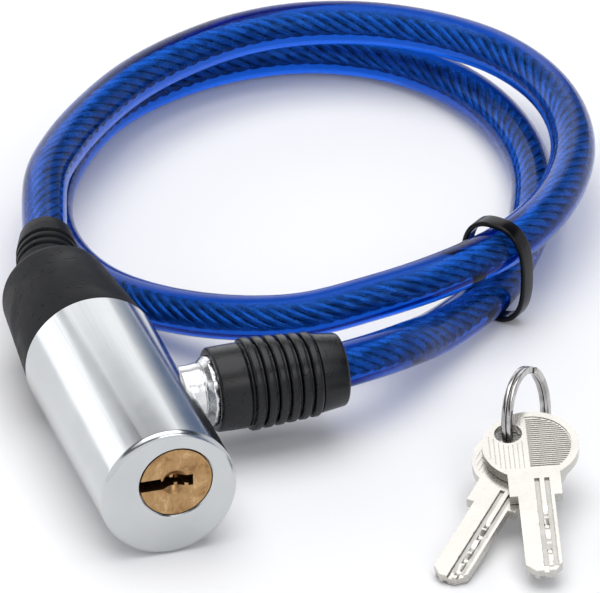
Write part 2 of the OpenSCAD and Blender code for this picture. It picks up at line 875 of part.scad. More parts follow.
module ferrule_pin() {
    reach = sqrt(pow(core_step_r, 2) - pow(ferrule_pin_d / 2, 2)) - 2 * seat;
    color("silver")
        translate([0, ferrule_pin_y, 0])
            upright(ferrule_pin_d / 2, -reach, reach);
}

module cable_core() {
    into_ferrule = [0, ferrule_front + ferrule_solid_l + 1, 0];
    into_bolt = [sleeve_x + 1, bolt_y, 0];
    path = concat([into_ferrule], smooth(cable_route, route_steps), [into_bolt]);
    color("lightsteelblue")
        swept(path, ring_section(rope_d / 2, rope_sides));
}

module cable_jacket() {
    color("#0b2fb0", 0.6)
        swept_tube(
            smooth(cable_route, route_steps),
            ring_section(cable_r, cable_sides),
            ring_section(rope_d / 2 + rope_gap, cable_sides)
        );
}

// Point of an oval that is fuller at its corners than an ellipse
function fuller(c) = sign(c) * pow(abs(c), 2 / band_fullness);
function oval_point(half_w, half_h, a) = [half_w * fuller(cos(a)), half_h * fuller(sin(a))];

// An upright oval, drawn out along the x axis
module oval(half_w, half_h, length) {
    rotate([90, 0, 90])
        linear_extrude(length, center = true)
            polygon([for (k = [0:$fn - 1]) oval_point(half_w, half_h, 360 * k / $fn)]);
}

module coil_ring() {
    color("#101114")
        translate([band_at[0], band_at[1], band_z])
            rotate([0, 0, band_turn])
                difference() {
                    oval(band_half_w + band_t, band_half_h + band_t, band_w);
                    oval(band_half_w, band_half_h, band_w + 2 * cut);
                }
}

// The plane that both keys lie in, about the axis of their holes
module at_keys() {
    translate([keys_at[0], keys_at[1], keys_z])
        rotate([0, 0, keys_slope_turn])
            rotate([keys_slope, 0, 0])
                rotate([0, 0, -keys_slope_turn])
                    children();
}

// A key with its hole on the z axis and its underside at z = 0
module key() {
    translate([key_hole_x, -key_hole_y, 0])
        difference() {
            union() {
                cylinder(r = key_head_r, h = key_t);
                block([-shoulder_w / 2, -shoulder_l, 0], [shoulder_w / 2, 0, key_t]);
                translate([0, blade_root, key_t / 2])
                    rotate([90, 0, 0])
                        linear_extrude(blade_l + shoulder_l + blade_root)
                            blade_outline();
            }
            translate([-key_hole_x, key_hole_y, 0])
                upright(key_hole_r, -cut, key_t + cut);
            for (side = [0, 1])
                translate([0, 0, key_t / 2])
                    rotate([0, 180 * side, 0])
                        key_face();
            for (side = [-1, 1])
                translate([side * blade_w / 2, -shoulder_l - blade_l, key_t / 2])
                    rotate([0, 0, 45])
                        cube([2 * key_tip_cut, 2 * key_tip_cut, key_t + cut], center = true);
        }
}

// Cuts in one face of a key: its grooves run up into the shoulder, and its dimples and panel are on this face
module key_face() {
    for (x = groove_xs)
        block(
            [x - groove_w / 2, -shoulder_l - blade_l - cut, key_t / 2 - groove_depth],
            [x + groove_w / 2, -key_head_r, key_t / 2 + cut]
        );
    for (k = [0:pin_count - 1])
        translate([dimple_x, -shoulder_l - pin_first - k * pin_pitch, key_t / 2 - pin_cut_depths[k]])
            cylinder(r1 = pin_tip_r, r2 = pin_r + pin_tip_r, h = pin_cut_depths[k] + seat);
    translate([0, 0, key_t / 2 - panel_depth])
        linear_extrude(panel_depth + cut)
            intersection() {
                circle(r = key_head_r - panel_rim);
                translate([panel_left, panel_low])
                    square([key_head_d, key_head_d]);
            }
}

module placed_key(k) {
    color("#d8d4c8")
        at_keys()
            rotate([0, 0, key_turns[k]])
                translate([0, 0, k == 0 ? key_stack / 2 : -key_stack / 2 - key_t])
                    key();
}

// Two turns of flat wire, one on the other
module split_ring() {
    last = ring_turns * ring_steps;
    path = [
        for (i = [0:last])
            [
                ring_r * cos(360 * i / ring_steps),
                ring_r * sin(360 * i / ring_steps),
                (split_wire_t + ring_turn_gap) * (i / ring_steps - ring_turns / 2)
            ]
    ];
    color("#a8a8a8")
        translate([keys_at[0], keys_at[1], ring_z])
            rotate([0, 0, ring_turn])
                translate([ring_r, 0, 0])
                    rotate([ring_lean, 0, 0])
                        swept(path, box_section(split_wire_w, split_wire_t));
}

outer_shell();
lock_core();
rear_boot();
cable_ferrule();
ferrule_pin();
cable_core();
cable_jacket();
spring_strip();
plug();
plug_clip();
drive_pin();
latch();
bolt();
bolt_sleeve();
coil_ring();
split_ring();
placed_key(0);  // key_1
placed_key(1);  // key_2
for (k = [0:pin_count - 1]) {
    key_pin(k);
    driver_pin(k);
    pin_spring(k);
}
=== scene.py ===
"""The looks of a cable luggage lock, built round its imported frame.

Sizes are in millimetres, and meshes, lamps and the camera in metres.
"""

import math

import bmesh
import bpy
from mathutils import Matrix, Vector, noise


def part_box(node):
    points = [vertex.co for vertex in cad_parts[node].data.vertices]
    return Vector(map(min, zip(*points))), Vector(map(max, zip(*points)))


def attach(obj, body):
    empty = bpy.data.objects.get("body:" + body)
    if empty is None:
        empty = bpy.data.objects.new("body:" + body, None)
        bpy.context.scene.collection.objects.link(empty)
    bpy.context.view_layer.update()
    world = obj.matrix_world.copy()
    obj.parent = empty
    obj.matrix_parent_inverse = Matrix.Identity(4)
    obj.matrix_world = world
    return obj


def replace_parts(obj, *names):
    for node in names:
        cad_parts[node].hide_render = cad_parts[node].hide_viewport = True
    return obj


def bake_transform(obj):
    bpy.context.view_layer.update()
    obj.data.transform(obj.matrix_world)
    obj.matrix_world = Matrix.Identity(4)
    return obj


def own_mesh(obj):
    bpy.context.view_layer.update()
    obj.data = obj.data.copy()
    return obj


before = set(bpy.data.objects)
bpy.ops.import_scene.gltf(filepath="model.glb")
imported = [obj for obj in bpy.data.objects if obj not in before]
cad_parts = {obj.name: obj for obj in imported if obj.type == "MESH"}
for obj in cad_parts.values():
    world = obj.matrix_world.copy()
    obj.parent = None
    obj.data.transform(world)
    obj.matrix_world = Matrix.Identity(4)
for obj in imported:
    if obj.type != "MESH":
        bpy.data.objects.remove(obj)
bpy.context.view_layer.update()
scene = bpy.context.scene

MM = 0.001
TURN = 2 * math.pi
UP = Vector((0, 0, 1))

# Sizes shared with the frame
SHELL_R, SHELL_L = 12, 47
SHELL_IN_R, FRONT_WALL = 10.4, 2
FLOOR_Z = -SHELL_R
PLUG_X, PLUG_Z, PLUG_R = 1.1, 2.1, 6.3
BOLT_Y, BOLT_R = 30.5, 5
SLEEVE_X, SLEEVE_END, SOCKET_END = 16.4, 39.9, 27
BOOT_END = 71.3
BEND_Y, NECK_L, NECK_TILT = 74, 14.8, math.radians(14)
NECK_WAY = Vector((math.sin(NECK_TILT), math.cos(NECK_TILT), 0))
NECK_TIP = Vector((0, BEND_Y, 0)) + NECK_L * NECK_WAY
CABLE_R, LAYER = 4, 8.6
CABLE_BORE = CABLE_R + 0.15
KEYS_AT = Vector((61.5, 3.6, -2.905))
KEYS_SLOPE, KEYS_SLOPE_TURN = math.radians(12), math.radians(-28)
KEY_TURNS = (math.radians(-14), math.radians(-42))
KEY_T, KEY_STACK = 1.8, 0.1
HEAD_AT, HEAD_R = Vector((3.6, -3.2, 0)), 8.3
GROOVE_XS = (0.4, 2.1)
PIN_NUMBERS = range(1, 6)

# Sizes of the looks alone. The rope is a little thicker than the frame's, for its look through the jacket.
ROPE_R, WIRES = 1.8, 14
CURVE_STEPS, JACKET_STEP, ROPE_STEP = 16, 1.5, 1.0
SHARP = 35

# The colour sockets of a Mix node, and the radians to a unit in a Wave Texture
MIX_SHARE, MIX_A, MIX_B, MIX_RESULT = 0, 6, 7, 2
WAVE_RATE = 20


# Camera

def make_camera():
    """The photograph's view: a long lens, from the front left and above."""
    distance, azimuth, elevation = 1.8, math.radians(-17.4), math.radians(30.7)
    look_at = Vector((0.02647, 0.01109, 0.02794))
    back = Vector((
        math.sin(azimuth) * math.cos(elevation),
        -math.cos(azimuth) * math.cos(elevation),
        math.sin(elevation),
    ))
    data = bpy.data.cameras.new("camera")
    data.sensor_width = 36
    data.lens = 637.2
    data.clip_start, data.clip_end = 0.1, 50
    camera = bpy.data.objects.new("camera", data)
    camera.rotation_mode = "QUATERNION"
    camera.location = look_at + distance * back
    camera.rotation_quaternion = (-back).to_track_quat("-Z", "Y")
    scene.collection.objects.link(camera)
    scene.camera = camera


make_camera()


# Meshes

def shade(mesh, sharp=SHARP):
    """Smooth, apart from edges that turn by more than that many degrees."""
    mesh.shade_smooth()
    mesh.set_sharp_from_angle(angle=math.radians(sharp))


def new_piece(name, points, faces, material, body, slot=None, sharp=SHARP):
    """A mesh piece from points in millimetres, which rides on a body where one is given."""
    mesh = bpy.data.meshes.new(name)
    mesh.from_pydata([Vector(p) * MM for p in points], [], faces)
    solid = bmesh.new()
    solid.from_mesh(mesh)
    bmesh.ops.recalc_face_normals(solid, faces=solid.faces)
    solid.to_mesh(mesh)
    solid.free()
    shade(mesh, sharp)
    mesh.materials.append(material)
    piece = bpy.data.objects.new(name, mesh)
    scene.collection.objects.link(piece)
    if body:
        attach(piece, body)
    return piece


def along_y(u, h, v):
    """A turned point about the lock's axis."""
    return Vector((u, h, v))


def along_bolt(u, h, v):
    """A turned point about the bolt's axis."""
    return Vector((h, BOLT_Y + u, v))


def turned(profile, place, segments=128):
    """A profile of (radius, height) turned about an axis: from pole to pole, or closed where it has no pole."""
    points, rings, faces = [], [], []
    for r, h in profile:
        count = segments if r > 0 else 1
        rings.append([len(points) + k for k in range(count)])
        angles = [TURN * k / count for k in range(count)]
        points += [place(r * math.cos(a), h, r * math.sin(a)) for a in angles]
    closing = rings[:1] if profile[0][0] > 0 else []
    for a, b in zip(rings, rings[1:] + closing):
        for k in range(segments):
            m = (k + 1) % segments
            face = [a[k % len(a)], a[m % len(a)], b[m % len(b)], b[k % len(b)]]
            faces.append(list(dict.fromkeys(face)))
    return points, faces


def rounded(corners, steps=6):
    """A polyline whose corners (x, y, radius) are rounded, with the first and last left as they are."""
    straight, most = math.pi - 0.01, 0.49
    done = [corners[0][:2]]
    for before, (x, y, r), after in zip(corners, corners[1:], corners[2:]):
        at = Vector((x, y))
        a, b = Vector(before[:2]) - at, Vector(after[:2]) - at
        angle = a.angle(b)
        if r == 0 or angle > straight:
            done.append((x, y))
            continue
        reach = min(r / math.tan(angle / 2), most * a.length, most * b.length)
        a.normalize()
        b.normalize()
        radius = reach * math.tan(angle / 2)
        centre = at + (a + b).normalized() * radius / math.sin(angle / 2)
        start, end = at + a * reach - centre, at + b * reach - centre
        sweep = start.angle_signed(end)
        for k in range(steps + 1):
            t = -sweep * k / steps
            done.append((
                centre.x + start.x * math.cos(t) - start.y * math.sin(t),
                centre.y + start.x * math.sin(t) + start.y * math.cos(t),
            ))
    return done + [corners[-1][:2]]


def circle(r, sides):
    """A ring of points about the origin."""
    return [(r * math.cos(TURN * k / sides), r * math.sin(TURN * k / sides)) for k in range(sides)]


def walls(count, n, closed=False):
    """Faces between so many rings of n points, and from the last ring to the first where that is closed."""
    faces = []
    for i in range(count if closed else count - 1):
        j = (i + 1) % count
        for k in range(n):
            m = (k + 1) % n
            faces.append([i * n + k, i * n + m, j * n + m, j * n + k])
    return faces


def caps(count, n):
    """The first and the last of so many rings of n points, as faces."""
    return [list(range(n)), list(range((count - 1) * n, count * n))]


def side_and_up(path, i):
    """The two directions across a path at one of its points."""
    ahead = (path[min(i + 1, len(path) - 1)] - path[max(i - 1, 0)]).normalized()
    side = ahead.cross(UP).normalized()
    return side, side.cross(ahead)


def swept(path, ring):
    """A ring of (side, up) points carried along a path, with both ends closed."""
    points = []
    for i, at in enumerate(path):
        side, up = side_and_up(path, i)
        points += [at + side * a + up * b for a, b in ring]
    return points, walls(len(path), len(ring)) + caps(len(path), len(ring))


def cut_away(piece, *cutters):
    """Takes the cutters, pieces themselves, out of a piece and deletes them."""
    for cutter in cutters:
        change = piece.modifiers.new("cut", "BOOLEAN")
        change.operation, change.solver, change.object = "DIFFERENCE", "EXACT", cutter
    bpy.context.view_layer.update()
    shape = piece.evaluated_get(bpy.context.evaluated_depsgraph_get())
    mesh = bpy.data.meshes.new_from_object(shape)
    piece.modifiers.clear()
    piece.data = mesh
    for cutter in cutters:
        bpy.data.objects.remove(cutter)
    shade(mesh)


# Materials

def set_stops(ramp, stops):
    """Fills a colour ramp with stops, each a place and a colour or grey value."""
    while len(ramp.elements) < len(stops):
        ramp.elements.new(0.5)
    for element, (at, value) in zip(ramp.elements, stops):
        element.position = at
        element.color = (*((value,) * 3 if isinstance(value, (int, float)) else value), 1)


class Look:
    """A procedural material: one shader, with patterns in millimetres or along the piece's own map."""

    def __init__(self, name, **sockets):
        self.material = bpy.data.materials.new(name)
        self.material.use_nodes = True
        self.tree = self.material.node_tree
        self.shader = self.tree.nodes["Principled BSDF"]
        for socket, value in sockets.items():
            self.shader.inputs[socket.replace("_", " ")].default_value = value
        self.normal = None

    def add(self, kind, **inputs):
        """A new node with values on its inputs."""
        node = self.tree.nodes.new("ShaderNode" + kind)
        for name, value in inputs.items():
            node.inputs[name.replace("_", " ")].default_value = value
        return node

    def link(self, source, target):
        self.tree.links.new(source, target)

    def place(self, stretch, mapped=False):
        """Coordinates in millimetres, or the piece's own map, stretched."""
        where = self.add("TexCoord")
        size = 1 if mapped else 1 / MM
        mapping = self.add("Mapping", Scale=[size * s for s in stretch])
        self.link(where.outputs["UV" if mapped else "Object"], mapping.inputs["Vector"])
        return mapping.outputs["Vector"]

    def noise(self, size, detail=4, roughness=0.55, stretch=(1, 1, 1), distortion=0):
        """Noise whose patches are about that size in millimetres."""
        node = self.add("TexNoise", Scale=1 / size, Detail=detail, Roughness=roughness, Distortion=distortion)
        self.link(self.place(stretch), node.inputs["Vector"])
        return node.outputs["Fac"]

    def bands(self, count):
        """So many soft bands to each unit across the piece's own map."""
        node = self.add("TexWave", Scale=count * TURN / WAVE_RATE, Distortion=0, Detail=1)
        node.wave_type, node.bands_direction = "BANDS", "X"
        self.link(self.place((1, 0, 0), mapped=True), node.inputs["Vector"])
        return node.outputs["Fac"]

    def ramp(self, fac, *stops):
        """Colours or grey values at places along a value."""
        node = self.add("ValToRGB")
        node.color_ramp.interpolation = "EASE"
        set_stops(node.color_ramp, stops)
        self.link(fac, node.inputs["Fac"])
        return node.outputs["Color"]

    def blend(self, a, b, share, mode="MIX"):
        """Two colours blended; each of the three values is a number, a colour or a node's output."""
        node = self.add("Mix")
        node.data_type, node.blend_type = "RGBA", mode
        for socket, value in ((MIX_SHARE, share), (MIX_A, a), (MIX_B, b)):
            if isinstance(value, (int, float)):
                node.inputs[socket].default_value = value
            elif isinstance(value, tuple):
                node.inputs[socket].default_value = value + (1,)
            else:
                self.link(value, node.inputs[socket])
        return node.outputs[MIX_RESULT]

    def drive(self, socket, value):
        """Links a node's output to one of the shader's sockets."""
        self.link(value, self.shader.inputs[socket])

    def bump(self, height, depth, strength):
        """Relief of that depth in millimetres, on top of what is there."""
        node = self.add("Bump", Strength=strength, Distance=depth * MM)
        self.link(height, node.inputs["Height"])
        if self.normal:
            self.link(self.normal, node.inputs["Normal"])
        self.normal = node.outputs["Normal"]
        self.drive("Normal", self.normal)


def chrome_look():
    """Satin chrome plate, with a faint haze and fine lines along the tube."""
    look = Look("chrome_plate", Metallic=1)
    haze = look.noise(9, detail=3)
    lines = look.noise(0.35, detail=2, stretch=(1, 0.02, 1))
    look.drive("Base Color", look.ramp(haze, (0.3, (0.54, 0.56, 0.57)), (0.7, (0.58, 0.60, 0.60))))
    hazy = look.ramp(haze, (0.3, 0.12), (0.7, 0.18))
    lined = look.ramp(lines, (0.4, 0.0), (0.7, 0.2))
    look.drive("Roughness", look.blend(hazy, lined, 0.3, "ADD"))
    look.bump(lines, 0.002, 0.5)
    return look.material


def zinc_look():
    """Grainy cast zinc."""
    look = Look("cast_zinc", Metallic=1, Roughness=0.5)
    grain = look.noise(0.8, detail=6)
    look.drive("Base Color", look.ramp(grain, (0.3, (0.38, 0.39, 0.40)), (0.7, (0.55, 0.56, 0.57))))
    look.bump(grain, 0.03, 0.6)
    return look.material


def rubber_look(name, dark, light, rough=(0.42, 0.62), shine=0.2, relief=0.02):
    """Moulded black rubber: fine grain, dusty patches and scattered specks."""
    look = Look(name, Specular_IOR_Level=shine)
    cloud = look.noise(6, detail=5)
    grain = look.noise(0.22, detail=3)
    specks = look.ramp(look.noise(1.3, detail=2), (0.62, 0.0), (0.68, 1.0))
    base = look.ramp(cloud, (0.3, dark), (0.75, light))
    look.drive("Base Color", look.blend(base, (0.001, 0.001, 0.0012), specks))
    look.drive("Roughness", look.ramp(cloud, (0.3, rough[0]), (0.7, rough[1])))
    look.bump(grain, relief, 0.5)
    look.bump(specks, 0.1, 0.6)
    return look.material


def jacket_look():
    """Clear deep-blue plastic that lets lamps through to the rope."""
    look = Look(
        "blue_plastic", Base_Color=(0.005, 0.075, 0.48, 1), Transmission_Weight=1, IOR=1.3,
        Specular_Tint=(0.1, 0.3, 0.7, 1),
    )
    waves = look.noise(14, detail=2)
    grain = look.noise(0.6, detail=3)
    look.drive("Roughness", look.ramp(grain, (0.35, 0.05), (0.7, 0.12)))
    look.bump(waves, 0.12, 0.5)
    clear = look.add("BsdfTransparent", Color=(0.62, 0.63, 0.66, 1))
    rays = look.add("LightPath")
    mix = look.add("MixShader")
    look.link(rays.outputs["Is Shadow Ray"], mix.inputs[0])
    look.link(look.shader.outputs[0], mix.inputs[1])
    look.link(clear.outputs[0], mix.inputs[2])
    look.link(mix.outputs[0], look.tree.nodes["Material Output"].inputs["Surface"])
    return look.material


def rope_look():
    """Bright steel wires that lie along each strand of the rope, with painted shade in the gaps between the wires
    and darker patches at random.
    """
    look = Look("steel_rope", Metallic=0.8)
    wires = look.bands(WIRES)
    patches = look.noise(2.5, detail=3)
    # Each wire is bright and the gap between wires is darkened: painted shade between the wires.
    base = look.ramp(wires, (0.0, (0.36, 0.37, 0.38)), (0.5, (0.98, 0.99, 0.98)))
    shade_of = look.ramp(patches, (0.32, 0.4), (0.66, 1.0))
    look.drive("Base Color", look.blend(base, shade_of, 0.6, "MULTIPLY"))
    look.drive("Roughness", look.ramp(patches, (0.3, 0.18), (0.7, 0.32)))
    look.bump(wires, 0.04, 0.6)
    return look.material


def brass_look(name, dark, mid, light, patch):
    """Tarnished brass: brown mottling, worn paler spots and fine scratches."""
    look = Look(name, Metallic=1)
    mottle = look.noise(patch, detail=6, roughness=0.7, distortion=0.4)
    scratches = look.noise(0.3, detail=2, stretch=(1, 1, 0.12))
    base = look.ramp(mottle, (0.30, dark), (0.50, mid), (0.72, light))
    worn = look.ramp(scratches, (0.4, 0.8), (0.6, 1.0))
    look.drive("Base Color", look.blend(base, worn, 0.5, "MULTIPLY"))
    look.drive("Roughness", look.ramp(mottle, (0.3, 0.42), (0.7, 0.26)))
    look.bump(mottle, 0.02, 0.3)
    look.bump(scratches, 0.01, 0.4)
    return look.material


def metal_look(name, dark, light, rough, patch=3, lines=(1, 1, 1), relief=0.006):
    """Plated or bare metal with soft patches and fine lines."""
    look = Look(name, Metallic=1)
    cloud = look.noise(patch, detail=4)
    fine = look.noise(0.25, detail=3, stretch=lines)
    look.drive("Base Color", look.ramp(cloud, (0.3, dark), (0.7, light)))
    look.drive("Roughness", look.ramp(fine, (0.3, rough[0]), (0.7, rough[1])))
    look.bump(fine, relief, 0.5)
    return look.material


def band_look():
    """Glossy black nylon."""
    look = Look("black_nylon", Specular_IOR_Level=0.2)
    cloud = look.noise(4, detail=3)
    look.drive("Base Color", look.ramp(cloud, (0.3, (0.003, 0.003, 0.004)), (0.7, (0.008, 0.008, 0.009))))
    look.drive("Roughness", look.ramp(cloud, (0.3, 0.12), (0.7, 0.22)))
    look.bump(look.noise(0.5, detail=3), 0.01, 0.4)
    return look.material


CHROME = chrome_look()
ZINC = zinc_look()
BOOT_RUBBER = rubber_look("boot_rubber", (0.004, 0.0043, 0.005), (0.012, 0.0125, 0.014), shine=0.1)
SLEEVE_RUBBER = rubber_look(
    "sleeve_rubber", (0.003, 0.0033, 0.004), (0.009, 0.0095, 0.011), rough=(0.18, 0.32), shine=0.33, relief=0.06,
)
BLUE = jacket_look()
ROPE = rope_look()
BRASS = brass_look("plug_brass", (0.24, 0.125, 0.05), (0.44, 0.265, 0.12), (0.62, 0.42, 0.22), patch=2.6)
PIN_BRASS = brass_look("pin_brass", (0.45, 0.30, 0.10), (0.62, 0.44, 0.17), (0.72, 0.54, 0.25), patch=1.5)
PLATING = metal_look(
    "bolt_plating", (0.62, 0.62, 0.63), (0.78, 0.78, 0.78), rough=(0.16, 0.3), patch=2.2, lines=(0.05, 1, 1),
)
STEEL = metal_look("inner_steel", (0.42, 0.43, 0.45), (0.58, 0.59, 0.60), rough=(0.25, 0.45))
RING_STEEL = metal_look(
    "ring_steel", (0.36, 0.35, 0.34), (0.54, 0.53, 0.52), rough=(0.1, 0.18), patch=1.5, relief=0.002,
)
NICKEL = metal_look(
    "key_nickel", (0.53, 0.515, 0.48), (0.58, 0.565, 0.525), rough=(0.25, 0.28), patch=6, lines=(0.2, 1, 1),
    relief=0.0002,
)
# Darker, rougher nickel: the engraved lines on the key heads, and painted shade on the floors of the blade's
# grooves.
ENGRAVING_AND_GROOVE_SHADE = metal_look(
    "key_engraving_and_groove_shade", (0.44, 0.43, 0.40), (0.50, 0.49, 0.46), rough=(0.4, 0.5), patch=2, relief=0.001,
)
BAND = band_look()


# Cable

def lay(x, y, layer):
    """A point of the route so many layers above the one that lies on the floor."""
    return Vector((x, y, FLOOR_Z + CABLE_R + layer * LAYER))


ROUTE = [
    Vector((0, 60.15, 0)), Vector((0, 68, 0)), Vector((0.6, 75.5, 0)),
    Vector((0, BEND_Y, 0)) + 0.5 * NECK_L * NECK_WAY, NECK_TIP,
    lay(9, 106.5, 1), lay(15.5, 117.5, 1.01), lay(24, 127.5, 1.01), lay(34, 136.5, 1.01), lay(45, 143, 1.01),
    lay(57, 147.2, 1.01), lay(69, 147.8, 1.01), lay(81, 144.4, 1.01), lay(91.5, 137.4, 1.01),
    lay(99.5, 128, 1.01), lay(104, 116.5, 1.01), lay(105, 104, 1.01), lay(102.5, 90.5, 1.03),
    lay(96.5, 77.5, 1.08), lay(87.8, 66, 1.14), lay(77.5, 57.7, 1.18), lay(65, 51.6, 1.22), lay(52, 49, 1.14),
    lay(39.2, 50.8, 0.86), lay(27.8, 57.6, 0.6), lay(18.2, 68.6, 0.32), lay(12, 81.5, 0.08),
    lay(9.3, 95, 0.01), lay(10.4, 108.5, 0.01), lay(15.6, 122, 0.01), lay(24, 134.5, 0.01), lay(34, 144, 0.01),
    lay(47, 150.6, 0.01), lay(60.5, 153.3, 0.01), lay(73, 151.8, 0.01), lay(84, 145.8, 0.01),
    lay(92, 136.5, 0.01), lay(97, 124.5, 0.01), lay(98.6, 111, 0.01), lay(97, 97.2, 0.02), lay(92, 82.5, 0.06),
    lay(85, 69.6, 0.13), lay(77.5, 58.9, 0.17), lay(69.5, 52.2, 0.17), lay(61.8, 45.5, 0.32),
    lay(54.4, 38.8, 0.64), lay(47.2, 34.2, 0.84),
    Vector((SOCKET_END + 13, BOLT_Y + 1, 0)), Vector((SOCKET_END + 6.6, BOLT_Y + 0.1, 0)),
    Vector((SOCKET_END + 0.15, BOLT_Y, 0)),
]
ROPE_START, ROPE_END = Vector((0, 48, 0)), Vector((SLEEVE_X + 1, BOLT_Y, 0))


def between(a, b, c, d, t):
    """A point from b to c on a smooth curve through four points."""
    return 0.5 * (
        2 * b + (c - a) * t + (2 * a - 5 * b + 4 * c - d) * t * t + (3 * b - a - 3 * c + d) * t * t * t
    )


def smooth(points, steps):
    """A curve through all the points."""
    ends = [2 * points[0] - points[1]] + points + [2 * points[-1] - points[-2]]
    curve = [
        between(*ends[i:i + 4], k / steps) for i in range(len(points) - 1) for k in range(steps)
    ]
    return curve + [points[-1]]


def even(path, step):
    """The same line with points an even step apart."""
    at = [0.0]
    for a, b in zip(path, path[1:]):
        at.append(at[-1] + (b - a).length)
    count = round(at[-1] / step)
    line, i = [], 0
    for k in range(count + 1):
        want = at[-1] * k / count
        while i < len(path) - 2 and at[i + 1] < want:
            i += 1
        share = (want - at[i]) / (at[i + 1] - at[i])
        line.append(path[i].lerp(path[i + 1], share))
    return line


def ease(x):
    """A soft step from 0 to 1."""
    x = min(1, max(0, x))
    return x * x * (3 - 2 * x)


def left_along(rings, step, sides, beyond=0):
    """For each point of a swept tube, the length from there to the route's end."""
    return [step * (rings - 1 - i) - beyond for i in range(rings) for _ in range(sides)]


def follow_bolt(piece, lengths):
    """Bakes the piece's place into its mesh and works out weights for a bend of its last stretch after the bolt,
    which nothing uses. The weight goes by length along the cable, because the turn that passes beside the bolt
    lies as far along any straight line."""
    from_end, to_end = 58, 14
    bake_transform(piece)
    weights = [ease((from_end - s) / (from_end - to_end)) for s in lengths]


def wire_map(rope, rings, sides):
    """A map of the rope: across, the wires of a strand with their own twist; along, its rings."""
    layer = rope.data.uv_layers.new(name="wires").data
    twist = 0.02
    for polygon in rope.data.polygons:
        spots = [(v % (rings * sides) // sides, v % sides) for v in polygon.vertices]
        wraps = max(k for _, k in spots) - min(k for _, k in spots) > sides / 2
        for corner, (i, k) in zip(polygon.loop_indices, spots):
            across = (k + sides if wraps and k == 0 else k) / sides
            layer[corner].uv = (across + twist * i, i)


def make_jacket(line):
    """The jacket, a closed tube, and the length left at each of its points."""
    sides = 32
    points, faces = swept(line, circle(CABLE_R, sides))
    jacket = new_piece("cable_cover", points, faces, BLUE, None, "blue_jacket", sharp=60)
    return jacket, left_along(len(line), JACKET_STEP, sides)


def make_rope(line):
    """The rope that the jacket is moulded on, strands round a core, and the length left at each of its points."""
    strands, strand_r, sides, pitch, sunk = 6, 0.52, 12, 17, 0.6
    helix_r = ROPE_R - strand_r
    beyond = (ROPE_END - ROUTE[-1]).length
    points, faces, left = [], [], []
    for strand in range(strands + 1):
        wound, thick = (helix_r, strand_r) if strand < strands else (0, helix_r - sunk * strand_r)
        path = []
        for i, at in enumerate(line):
            side, up = side_and_up(line, i)
            turn = TURN * (strand / strands - i * ROPE_STEP / pitch)
            path.append(at + wound * (side * math.cos(turn) + up * math.sin(turn)))
        more, more_faces = swept(path, circle(thick, sides))
        faces += [[len(points) + k for k in face] for face in more_faces]
        points += more
        left += left_along(len(path), ROPE_STEP, sides, beyond)
    rope = new_piece("wire_rope", points, faces, ROPE, None, "rope_steel", sharp=70)
    wire_map(rope, len(line), sides)
    return rope, left


def make_cable():
    """The jacket and its rope, and the line that the jacket follows."""
    curve = smooth(ROUTE, CURVE_STEPS)
    line = even(curve, JACKET_STEP)
    jacket, jacket_left = make_jacket(line)
    rope, rope_left = make_rope(even([ROPE_START] + curve + [ROPE_END], ROPE_STEP))
    for piece, lengths, node in ((jacket, jacket_left, "cable_jacket"), (rope, rope_left, "cable_core")):
        follow_bolt(piece, lengths)
        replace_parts(piece, node)
    return jacket, rope, line


JACKET, WIRE_ROPE, CABLE_LINE = make_cable()


def oval(half_w, half_h, steps=96, fullness=2.6):
    """An upright oval, fuller at its corners than an ellipse, as (across, up) points."""
    def fuller(c):
        return math.copysign(abs(c) ** (2 / fullness), c)

    angles = [TURN * k / steps for k in range(steps)]
    return [(half_w * fuller(math.cos(a)), half_h * fuller(math.sin(a))) for a in angles]


def make_band():
    """The band round both turns, with rounded edges."""
    at, turn = Vector((77.5, 58.3, -2.195)), math.radians(40)
    half_w, half_h, thick, wide, edge = 5.8, 8.843, 0.9, 3.2, 0.36
    ahead = Vector((math.cos(turn), math.sin(turn), 0))
    side = Vector((-math.sin(turn), math.cos(turn), 0))
    section = rounded([
        (0, -wide / 2 + edge * 2, 0), (0, -wide / 2, edge), (thick, -wide / 2, edge), (thick, wide / 2, edge),
        (0, wide / 2, edge), (0, wide / 2 - edge * 2, 0),
    ])
    points = []
    for out, along in section:
        ring = oval(half_w + out, half_h + out)
        points += [at + ahead * along + side * a + Vector((0, 0, b)) for a, b in ring]
    faces = walls(len(section), len(ring), closed=True)
    band = new_piece("coil_band", points, faces, BAND, "coil_ring", "black_band", sharp=50)
    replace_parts(band, "coil_ring")
    return band


COIL_BAND = make_band()
[p * MM for p in CABLE_LINE]


# Lock body

def make_shell():
    """The chrome cup, with its rounded rim, the hole of the plug and the hole of the bolt."""
    rim, back_edge, mouth_edge = 1.2, 0.25, 0.2
    profile = rounded([
        (0, 0, 0), (SHELL_R, 0, rim), (SHELL_R, SHELL_L, back_edge), (SHELL_IN_R, SHELL_L, mouth_edge),
        (SHELL_IN_R, FRONT_WALL, 0), (0, FRONT_WALL, 0),
    ], 10)
    shell = new_piece("chrome_shell", *turned(profile, along_y, 192), CHROME, None, "shell_chrome")
    plug_r, bolt_r, bevel, over, bolt_l = PLUG_R + 0.2, BOLT_R + 0.25, 0.2, 1, 20
    plug_hole = turned(
        [(0, -over), (plug_r + bevel + over, -over), (plug_r, bevel), (plug_r, FRONT_WALL + over),
         (0, FRONT_WALL + over)],
        lambda u, h, v: Vector((PLUG_X + u, h, PLUG_Z + v)),
    )
    bolt_hole = turned([(0, 0), (bolt_r, 0), (bolt_r, bolt_l), (0, bolt_l)], along_bolt, 96)
    cut_away(
        shell,
        new_piece("plug_hole", *plug_hole, CHROME, None),
        new_piece("bolt_hole", *bolt_hole, CHROME, None),
    )
    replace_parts(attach(shell, "lock"), "outer_shell")


